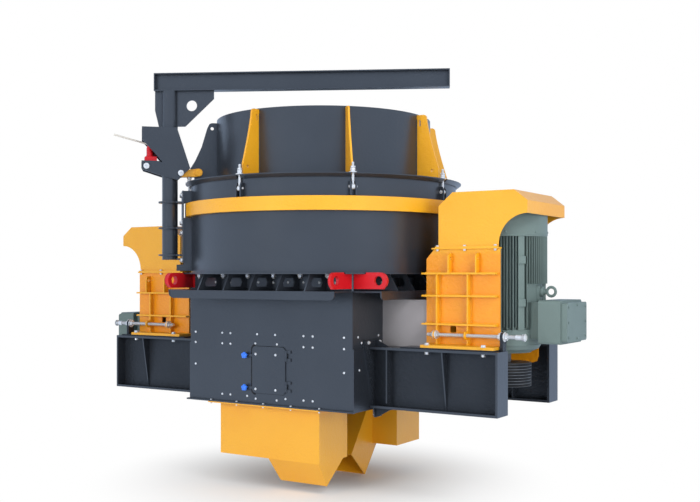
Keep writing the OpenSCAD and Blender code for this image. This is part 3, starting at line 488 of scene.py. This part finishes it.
def star_knob(radius=0.0295, lobes=5):
    """A five-cornered clamping knob on its stud."""
    outline = []
    for step in range(lobes * 8):
        angle = 2 * pi * step / (lobes * 8)
        reach = radius * (0.90 + 0.10 * cos(lobes * (angle - pi / 2)))
        outline.append((reach * cos(angle), reach * sin(angle)))
    grip = moved(prism(outline, 0.020, 0.003), Matrix.Translation((0, 0, 0.020)))
    hub = turned([(0, 0.004), (0.014, 0.004), (0.017, 0.021), (0, 0.021)])
    cap = turned([(0.016, 0.0398), (0.014, 0.043), (0.006, 0.045), (0, 0.0452)])
    return joined(grip, hub, cap)


knob_low, knob_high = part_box("door_knobs")
knob_places = [(((knob_low.x + knob_high.x) / 2, -HOUSING_HALF, z), FRONT) for z in (0.122, 0.400)]
knobs = piece("star_knobs", stamped(star_knob(), knob_places, 2 * pi / 5), blue_knob, "crusher")


door_low, door_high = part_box("access_door")
# Painted shade: dark strips just proud of the housing along the door's left, top and bottom edges, with rounded left
# corners, in the black belt finish, standing for the shadow line of the gap round the door.
shade_strip_back, shade_strip_front = -HOUSING_HALF - 0.0002, -HOUSING_HALF - 0.0016
door_shade_strips = [block((door_low.x - 0.0185, shade_strip_front, door_low.z + 0.03), (door_low.x - 0.001, shade_strip_back, door_high.z - 0.03)),
               block((door_low.x + 0.02, shade_strip_front, door_high.z + 0.0005), (door_high.x - 0.04, shade_strip_back, door_high.z + 0.0035)),
               block((door_low.x + 0.02, shade_strip_front, door_low.z - 0.0035), (door_high.x - 0.04, shade_strip_back, door_low.z - 0.0005))]
for z in (door_low.z, door_high.z):
    inward = 0.03 if z == door_low.z else -0.03
    corner = turned([(0.031, 0), (0.0485, 0), (0.0485, 0.0014), (0.031, 0.0014), (0.031, 0)], 48)
    bmesh.ops.bisect_plane(corner, geom=corner.verts[:] + corner.edges[:] + corner.faces[:], dist=1e-6,
                           plane_co=(0, 0, 0), plane_no=(1, 0, 0), clear_outer=True)
    bmesh.ops.bisect_plane(corner, geom=corner.verts[:] + corner.edges[:] + corner.faces[:], dist=1e-6,
                           plane_co=(0, 0, 0), plane_no=(0, inward, 0), clear_outer=True)
    upright = Matrix.Translation((door_low.x + 0.030, shade_strip_back, z + inward)) @ Matrix.Rotation(pi / 2, 4, "X")
    door_shade_strips.append(moved(corner, upright))
# the strips are painted shade, not a part of the door
piece("door_edge_painted_shade", joined(*door_shade_strips), black_belt, "crusher")
clamp_plates = [block((knob_places[0][0][0] - 0.012, -HOUSING_HALF - 0.010, z - 0.011),
                      (door_low.x - 0.0015, -HOUSING_HALF - 0.0018, z + 0.011), 0.003) for z in (0.122, 0.400)]
piece("knob_clamps", joined(*clamp_plates), dark_paint, "crusher")


def half_turned(places, drop=0.0):
    """The places, and the same ones on the far side of the drum's axis."""
    far = [((-x, -y, z - drop), (-u, -v, w)) for (x, y, z), (u, v, w) in places]
    return list(places) + far


def quarter_turned(places):
    """The places on each of the four sides."""
    turned_places = []
    for (x, y, z), (u, v, w) in half_turned(places):
        turned_places += [((x, y, z), (u, v, w)), ((-y, x, z), (-v, u, w))]
    return turned_places


def mirrored(places):
    """The places, and the same ones across the plane Y = 0."""
    return list(places) + [((x, -y, z), (u, -v, w)) for (x, y, z), (u, v, w) in places]


def bead(start, end, radius=0.0045):
    """A weld bead along a corner, with its ripples."""
    start, end = Vector(start), Vector(end)
    length = (end - start).length
    ripples = max(2, int(length / 0.012))
    profile = [(0, 0)]
    for step in range(2 * ripples + 1):
        profile.append((radius * (1.0 if step % 2 else 0.84), length * step / (2 * ripples)))
    return moved(turned(profile + [(0, length)], 8), aimed(start, end - start))


foot_bolts = [((-0.032 + 0.289 * k, -0.876, -0.010), UP) for k in range(-2, 3)]
foot_nuts = [((x, y, -0.032), DOWN) for (x, y, _), _ in foot_bolts]
piece("base_flange_bolts", joined(stamped(hex_bolt(0.010), half_turned(foot_bolts)),
      stamped(stud_and_nut(0.009, 0.5), half_turned(foot_nuts))), zinc_plate, "crusher")

plate_bolts = [((PLATE_X, y, z), (1, 0, 0)) for y, z in ((0.655, 0.535), (0.475, 0.535), (0.515, -0.072))]
piece("beam_plate_bolts", joined(
      stamped(hex_bolt(0.0145), half_turned(mirrored(plate_bolts))),
      stamped(stud_and_nut(0.0135, 1.6), half_turned(mirrored([((DOUBLER_X, 0.515, -0.072), (-1, 0, 0))])))), zinc_plate,
      "crusher")


def beam_edges(stiffener_x):
    """Strips on the plate edges and the end plate of a front beam, glossier than its web."""
    strips = []
    for x, width, low, high in ((0.8785, 0.013, (0.550, -0.090), (0.720, 0.555)),
                                (1.040, 0.012, (0.630, 0.045), (0.630, 0.480)),
                                (stiffener_x, 0.012, (0.552, 0.020), (0.630, 0.480))):
        start, end = Vector((x, -low[0], low[1])), Vector((x, -high[0], high[1]))
        along = (end - start).normalized()
        turn = Matrix((Vector((1, 0, 0)), along.cross(Vector((1, 0, 0))), along)).transposed().to_4x4()
        strip = block((-width / 2, -0.0006, 0), (width / 2, 0.0006, (end - start).length))
        strips.append(moved(strip, Matrix.Translation(start) @ turn))
    for z in (0.0, BEAM_TOP - BEAM_FLANGE):
        strips.append(block((0.886, -0.6406, z + 0.0004), (2.0195, -0.6394, z + BEAM_FLANGE - 0.0004)))
    strips.append(block((2.0052, -0.6406, BEAM_FLANGE), (2.0196, -0.6394, BEAM_TOP - BEAM_FLANGE)))
    strips.append(block((2.0194, -0.6396, 0.0004), (2.0206, -0.4404, BEAM_TOP - 0.0004)))
    return joined(*strips)


across_front = Matrix.Diagonal((1, -1, 1, 1))
half_turn = Matrix.Rotation(pi, 4, "Z")
piece("beam_edges", joined(beam_edges(1.542), moved(beam_edges(1.680), across_front),
      moved(beam_edges(1.542), half_turn), moved(beam_edges(1.680), half_turn @ across_front)),
      dark_paint, "crusher")

# Under the drum: hanging bolts between the gussets, round heads on the ring's wall

hanging = [((-0.012 + 0.273 * (k - 2.5), -0.935, RING_TOP), DOWN) for k in range(6)]
wall_heads = [((0.018 + 0.159 * k, -RING_HALF, 1.027), FRONT) for k in range(-5, 5)]
piece("drum_flange_nuts", stamped(stud_and_nut(0.024, 0.9), quarter_turned(hanging)), zinc_plate,
      "crusher")
piece("ring_round_bolts", stamped(dome_bolt(0.012), quarter_turned(wall_heads)), zinc_plate,
      "crusher")
ring_beads = []
for k in range(-2, 3):
    for edge in (-0.009, 0.009):
        ring_beads.append(bead((0.28 * k + edge, -0.805, DECK_TOP), (0.28 * k + edge, -1.095, DECK_TOP)))
ring_beads.append(bead((-0.798, -0.803, DECK_TOP + 0.003), (0.798, -0.803, DECK_TOP + 0.003), 0.006))
side_beads = joined(*ring_beads)
all_beads = [moved(side_beads.copy(), Matrix.Rotation(turn * pi / 2, 4, "Z")) for turn in range(4)]
side_beads.free()
piece("gusset_welds", joined(*all_beads), dark_paint, "crusher", 60)


def swing_bolt():
    """Eye ring on its pin, threaded stud, sleeve, washer and two nuts, at angle 0."""
    eye = turned([(0.0104, -0.014), (0.021, -0.014), (0.023, -0.010), (0.023, 0.010), (0.021, 0.014),
                  (0.0104, 0.014), (0.0104, -0.014)], 28)
    pin = turned([(0, -0.036), (0.0085, -0.036), (0.0098, -0.034), (0.0098, 0.034), (0.0085, 0.036),
                  (0, 0.036)], 20)
    clip = turned([(0.0098, 0.0305), (0.015, 0.0305), (0.015, 0.033), (0.0098, 0.033)], 20)
    across = Matrix.Translation((BOLT_CIRCLE, 0, EYE_Z)) @ Matrix.Rotation(pi / 2, 4, "X")
    tip = ROOF_TOP + 0.098
    stem = [(0, EYE_Z + 0.018), (0.0095, EYE_Z + 0.018), (0.0110, EYE_Z + 0.03), (0.0110, ROOF_TOP + 0.02)]
    thread = [(0.0112 if step % 2 else 0.0098, ROOF_TOP + 0.022 + 0.0018 * step) for step in range(41)]
    upright = turned(stem + thread + [(0.0085, tip), (0, tip)], 20)
    washer = turned([(0.0115, ROOF_TOP + 0.0133), (0.034, ROOF_TOP + 0.0133), (0.034, ROOF_TOP + 0.0185),
                     (0.0325, ROOF_TOP + 0.020), (0.0115, ROOF_TOP + 0.020)], 28)
    sleeve = turned([(0.0115, ROOF_TOP + 0.020), (0.020, ROOF_TOP + 0.020), (0.020, ROOF_TOP + 0.030),
                     (0.0115, ROOF_TOP + 0.030)], 24)
    nuts = joined(hexagon(0.036, ROOF_TOP + 0.030, ROOF_TOP + 0.050),
                  moved(hexagon(0.036, ROOF_TOP + 0.051, ROOF_TOP + 0.066), Matrix.Rotation(0.5, 4, "Z")))
    top = moved(joined(upright, washer, sleeve, nuts), Matrix.Translation((BOLT_CIRCLE, 0, 0)))
    return joined(moved(joined(eye, pin, clip), across), top)


one_bolt = swing_bolt()
bolts_round = [moved(one_bolt.copy(), Matrix.Rotation(k * pi / 4, 4, "Z")) for k in range(8)]
one_bolt.free()
clamps = piece("roof_swing_bolts", joined(*bolts_round), zinc_plate, "crusher")

hat_beads = []
for k in range(8):
    turn = Matrix.Rotation(k * pi / 4, 4, "Z")
    for side in (-1, 1):
        edge = side * 0.0095
        hat_beads.append(moved(bead((HAT_R + 0.001, edge, ROOF_TOP), (HAT_R + 0.001, edge, HAT_TOP - 0.045)), turn))
        hat_beads.append(moved(bead((HAT_R + 0.005, edge, ROOF_TOP + 0.001), (HAT_R + 0.20, edge, ROOF_TOP + 0.001)), turn))
hat_ring = turned([(HAT_R - 0.001, ROOF_TOP), (HAT_R + 0.007, ROOF_TOP), (HAT_R - 0.001, ROOF_TOP + 0.008)], 120)
piece("hat_welds", joined(hat_ring, *hat_beads), dark_paint, "crusher", 60)

band_edges = [turned([(1.2142, z), (1.2182, z + s * 0.001), (1.2182, z + s * 0.004), (1.2142, z + s * 0.005)], 120)
              for z, s in ((1.612, -1), (1.723, 1))]
piece("band_seams", joined(*band_edges), dark_paint, "crusher", 60)


# Jib: bolts of the bracket, cap and weld rings

def in_lift_plane(t, across, z):
    """World place of a point in the plane through the drum's axis and the post."""
    return ((POST_X + (t - across) / sqrt(2)), (POST_X + (t + across) / sqrt(2)), z)


TO_POST = (-1 / sqrt(2), -1 / sqrt(2), 0)
ACROSS = (-1 / sqrt(2), 1 / sqrt(2), 0)
bracket_bolts = [(in_lift_plane(0.105, side * 0.076, z), TO_POST)
                 for side in (-1, 1) for z in (1.803, 1.558, 1.468, 1.2245)]
piece("jib_bracket_bolts", stamped(hex_bolt(0.020), bracket_bolts), zinc_plate, "crusher")
post_rings = []
for z in (1.260, 1.500, 1.730):
    for low in (0.0, 0.014):
        post_rings.append(moved(turned([(0.0692, z + low - 0.005), (0.074, z + low), (0.0692, z + low + 0.005)], 48),
                                Matrix.Translation((POST_X, POST_X, 0))))
piece("post_welds", joined(*post_rings), dark_paint, "crusher", 60)

pin_caps = []
for t, z, reach in ((0.093, 1.995, 0.0973), (-0.207, 2.051, 0.0973)):
    for side in (-1, 1):
        disc = turned([(0, 0), (0.026, 0), (0.026, 0.006), (0.023, 0.008), (0.007, 0.008), (0.006, 0.003), (0, 0.003)], 32)
        direction = tuple(side * part for part in ACROSS)
        pin_caps.append(moved(disc, aimed(in_lift_plane(t, side * reach, z), direction)))
piece("lever_pin_discs", joined(*pin_caps), zinc_plate, "crusher")
link_caps = [moved(turned([(0, 0), (0.034, 0), (0.034, 0.008), (0.030, 0.011), (0.012, 0.011), (0.010, 0.009), (0, 0.009)], 32),
                   aimed(in_lift_plane(0.252, side * 0.050, 2.007), tuple(side * part for part in ACROSS)))
             for side in (-1, 1)]
piece("link_pin_discs", joined(*link_caps), yellow_paint, "crusher")

jack_low = 2.1003
jack_parts = [
    moved(turned([(0, 0), (0.048, 0), (0.050, 0.004), (0.050, 0.034), (0.044, 0.042), (0.034, 0.048),
                  (0.031, 0.060), (0.031, 0.118), (0.027, 0.126), (0.0275, 0.132), (0, 0.132)], 40),
          Matrix.Translation(in_lift_plane(-0.175, 0, jack_low))),
    moved(turned([(0.0172, 0.1321), (0.0215, 0.133), (0.0215, 0.142), (0.0172, 0.143)], 32),
          Matrix.Translation(in_lift_plane(-0.175, 0, jack_low)))]
piece("jack_body", joined(*jack_parts), red_paint, "crusher")
screw = [(0.0150 if step % 2 else 0.0172, 0.143 + 0.004 * step) for step in range(17)]
piece("jack_ram", moved(turned([(0, 0.143)] + screw + [(0.024, 0.2075), (0.024, 0.2192), (0, 0.2192)], 24),
      Matrix.Translation(in_lift_plane(-0.175, 0, jack_low))), zinc_plate, "crusher")

# Motor drives

for side, name, drop in ((RIGHT, "right", 0.0), (LEFT, "left", LEFT_DROP)):
    body = "drive_" + name
    place = Matrix.Translation((0, 0, -drop)) @ Matrix.Rotation(0 if side == RIGHT else pi, 4, "Z")
    level = Matrix.Rotation(0 if side == RIGHT else pi, 4, "Z")

    cowl_heads = [((x, 0.420, 1.320), UP) for x in (1.397, 1.640, 1.905)]
    cowl_nuts = [((x, y, 1.298), DOWN) for (x, y, _), _ in cowl_heads]
    base_heads = [((1.396, -0.545, 0.5323), UP), ((1.887, -0.545, 0.5323), UP),
                  ((1.305, 0.545, 0.5323), UP), ((1.790, 0.545, 0.5323), UP)]
    base_nuts = [((x, y * 0.604 / 0.545, 0.480), DOWN) for (x, y, _), _ in base_heads]
    fixings = joined(
        moved(joined(stamped(hex_bolt(0.014), mirrored(cowl_heads)),
                     stamped(stud_and_nut(0.013, 0.4), mirrored(cowl_nuts))), place),
        moved(joined(stamped(hex_bolt(0.022), [((x, y * 0.604 / 0.545, z), d) for (x, y, z), d in base_heads]),
                     stamped(stud_and_nut(0.019, 0.4), base_nuts)), level))
    rod_rings, plate_nuts = [], []
    for end, rib in ((-1, 1.400), (1, 1.480)):
        for x, facing in ((rib - 0.0003, -1), (rib + 0.0143, 1)):
            washer = turned([(0.0155, 0), (0.036, 0), (0.036, 0.005), (0.034, 0.0065), (0.0155, 0.0065)], 32)
            rod_rings.append(moved(washer, aimed((x, end * ROD_Y, ROD_Z), (facing, 0, 0))))
        sleeve = turned([(0.0152, 0), (0.0200, 0), (0.0200, 0.048), (0.0152, 0.048)], 32)
        rod_rings.append(moved(sleeve, aimed((2.105, end * ROD_Y, ROD_Z), (1, 0, 0))))
        cap = turned([(0, 0), (0.0300, 0), (0.0300, 0.004), (0.024, 0.004), (0.022, 0.010), (0, 0.012)], 32)
        rod_rings.append(moved(cap, aimed((2.178, end * ROD_Y, ROD_Z), (1, 0, 0))))
        for x, facing in ((1.9848, -1), (2.0102, 1)):
            plate_nuts.append(moved(joined(
                turned([(0.0155, 0), (0.038, 0), (0.038, 0.005), (0.036, 0.0065), (0.0155, 0.0065)], 32),
                hexagon(0.050, 0.0065, 0.0265)), aimed((x, end * ROD_Y, ROD_Z), (facing, 0, 0))))
    piece(f"rod_washers_{name}", moved(joined(*rod_rings), level), zinc_plate, body)
    piece(f"rod_plate_nuts_{name}", moved(joined(*plate_nuts), level), zinc_plate, "crusher")
    piece(f"carriage_bolts_{name}", fixings, zinc_plate, body)

    shells = []
    for k in range(8):
        turn = Matrix.Translation((MOTOR_X, 0, 0)) @ Matrix.Rotation((k + 0.5) * pi / 4, 4, "Z")
        shells.append(moved(block((0.296, -0.020, 0.588), (0.330, 0.020, 0.652), 0.006), turn))
        shells.append(moved(moved(hex_bolt(0.016, False), aimed((0.317, 0, 0.588), DOWN)), turn))
        shells.append(moved(moved(dome_bolt(0.010), aimed((MOTOR_R, 0, 1.435), (1, 0, 0))), turn))
    grease = turned([(0.18, 0.4666), (0.205, 0.4666), (0.205, 0.460), (0.165, 0.455), (0.082, 0.455), (0.082, 0.4666)], 48)
    rim = turned([(MOTOR_R - 0.001, 1.4120), (MOTOR_R + 0.0025, 1.4135), (MOTOR_R + 0.0025, 1.4185), (MOTOR_R - 0.001, 1.4200)], 96)
    hood = turned([(MOTOR_R - 0.0005, 1.5985), (MOTOR_R + 0.0015, 1.600), (MOTOR_R + 0.0015, 1.604), (MOTOR_R - 0.0005, 1.6055)], 96)
    shells.append(moved(joined(grease, rim, hood), Matrix.Translation((MOTOR_X, 0, 0))))
    for step in range(88):
        angle = -90 + step * 360 / 88
        facing = abs((angle + 180) % 360 - 180)
        if step % 2 == 0 and facing > 35:
            continue
        if min(abs((angle - pad + 180) % 360 - 180) for pad in (-45, 45, 135, 225)) < 7.5:
            continue
        low = 1.020 if facing < 33 else 0.672
        fin = block((0.288, -0.0022, low), (0.333, 0.0022, 1.4005), 0.0008)
        shells.append(moved(fin, Matrix.Translation((MOTOR_X, 0, 0)) @ Matrix.Rotation(radians(angle), 4, "Z")))
    ring = turned([(0.036 + 0.0115 * cos(a * pi / 6), 0.0115 * sin(a * pi / 6)) for a in range(13)], 36)
    eye = moved(ring, Matrix.Translation((2.206, 0, 0.956)) @ Matrix.Rotation(pi / 2, 4, "X"))
    stalk = moved(turned([(0, 0), (0.044, 0), (0.040, 0.050), (0.026, 0.060), (0.024, 0.072), (0.011, 0.078), (0, 0.078)], 32),
                  aimed((2.085, 0, 0.956), (1, 0, 0)))
    boss = moved(block((2.040, -0.062, 0.872), (2.118, 0.062, 1.012), 0.022), Matrix())
    shells += [eye, stalk, boss]
    lid_screws = [((2.420, y, z), (1, 0, 0)) for y in (-0.195, 0.195) for z in (0.602, 0.720, 0.838)]
    lid_screws += [((2.420, 0, z), (1, 0, 0)) for z in (0.588, 0.852)]
    shells.append(stamped(hex_bolt(0.010, False), lid_screws))
    gasket = moved(block((2.3692, -0.2315, 0.558), (2.3722, 0.2315, 0.882), 0.0012), Matrix())
    shells.append(gasket)
    piece(f"motor_fittings_{name}", moved(joined(*shells), place), motor_paint, body)

    welds = []
    for end, ribs in ((-1, (1.400, 1.675)), (1, (1.480, 1.747))):
        for x in ribs:
            for edge in (-0.001, 0.015):
                welds.append(bead((x + edge, end * 0.4075, 0.535), (x + edge, end * 0.4075, 1.093 - drop)))
        for z in ((0.686, 0.915, 1.095) if side == RIGHT else (0.686, 1.095 - drop)):
            for edge in (-0.001, 0.015):
                welds.append(bead((1.280, end * 0.4075, z + edge), (1.920, end * 0.4075, z + edge)))
    piece(f"carriage_welds_{name}", moved(joined(*welds), level), yellow_paint, body, 60)


# ---------------------------------------------------------------- camera, floor and light

camera_data = bpy.data.cameras.new("camera")
camera_data.lens = 50
camera_data.sensor_width = 36
camera_data.shift_y = 24 / 700
camera = bpy.data.objects.new("camera", camera_data)
bpy.context.scene.collection.objects.link(camera)
camera.location = (5.04, -7.46, 1.09)
camera.rotation_euler = Vector((-0.5373, 0.8434, 0)).to_track_quat("-Z", "Y").to_euler()
bpy.context.scene.camera = camera


def area_lamp(name, place, target, size, power, colour=(1, 1, 1)):
    lamp = bpy.data.lights.new(name, "AREA")
    lamp.shape, lamp.size, lamp.energy, lamp.color = "DISK", size, power, colour
    made = bpy.data.objects.new(name, lamp)
    made.location = place
    made.rotation_euler = (Vector(target) - Vector(place)).to_track_quat("-Z", "Y").to_euler()
    made.visible_glossy = False
    bpy.context.scene.collection.objects.link(made)


area_lamp("key", (-1.8, -11.0, 2.5), (0, 0, 0.7), 4.5, 530)
area_lamp("side", (10.0, -5.0, 2.0), (0, 0, 0.4), 5.0, 410)
area_lamp("high_side", (7.0, -3.6, 6.6), (1.0, 0, 1.4), 3.5, 240)


def seen_directly(shader):
    """1 where a ray comes from the camera, a reflection or glass."""
    ray = shader.node("ShaderNodeLightPath")
    parts = [Value(shader, ray.outputs[name]) for name in
             ("Is Camera Ray", "Is Glossy Ray", "Is Transmission Ray")]
    return shader.number("ShaderNodeMath", {"operation": "MINIMUM"},
                         {0: parts[0] + parts[1] + parts[2], 1: 1.0})


def surroundings(shader):
    """White for the eye, and cool soft-box grey for what the enamel mirrors."""
    glossy = Value(shader, shader.node("ShaderNodeLightPath").outputs["Is Glossy Ray"])
    return shader.blend(glossy, (1, 1, 1), (0.62, 0.78, 1.05))


def white_world(strength):
    world = bpy.data.worlds.new("studio")
    world.use_nodes = True
    bpy.context.scene.world = world
    sky = Shader.__new__(Shader)
    sky.tree = world.node_tree
    backdrop = sky.tree.nodes["Background"]
    sky.place = sky.node("ShaderNodeTexCoord").outputs["Generated"]
    _, _, height = sky.place_parts()
    sky.feed(backdrop.inputs["Color"], surroundings(sky))
    overhead = strength * sky.span(height, 0.25, 0.95, 1.0, 0.35)
    sky.feed(backdrop.inputs["Strength"], overhead + (1 - overhead) * seen_directly(sky))


white_world(0.72)

FLOOR_Z = cad_box[0][2] - 0.002
floor_shader = Shader("pale_floor")
across, along, _ = floor_shader.place_parts()
distance = (across * across + along * along) ** 0.5
fade = floor_shader.span(distance, 0.2, 2.2, 0, 1)
floor_shader.set(Base_Color=(0.92, 0.92, 0.92, 1), Roughness=0.9)
glow = floor_shader.node("ShaderNodeEmission", {}, {
    "Color": surroundings(floor_shader), "Strength": 1.0})
mixed = floor_shader.node("ShaderNodeMixShader", {}, {
    0: fade * seen_directly(floor_shader), 1: floor_shader.bsdf.outputs[0], 2: glow.outputs[0]})
floor_shader.feed(floor_shader.tree.nodes["Material Output"].inputs["Surface"], mixed.outputs[0])
floor_shape = bmesh.new()
bmesh.ops.create_circle(floor_shape, cap_ends=True, segments=96, radius=90)
floor_mesh = bpy.data.meshes.new("floor")
floor_shape.to_mesh(floor_mesh)
floor_shape.free()
floor_mesh.materials.append(floor_shader.material)
floor = bpy.data.objects.new("floor", floor_mesh)
floor.location = (0, 0, FLOOR_Z)
bpy.context.scene.collection.objects.link(floor)

bpy.context.scene.view_settings.view_transform = "Standard"

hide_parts("door_knobs")
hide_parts("swing_bolts")
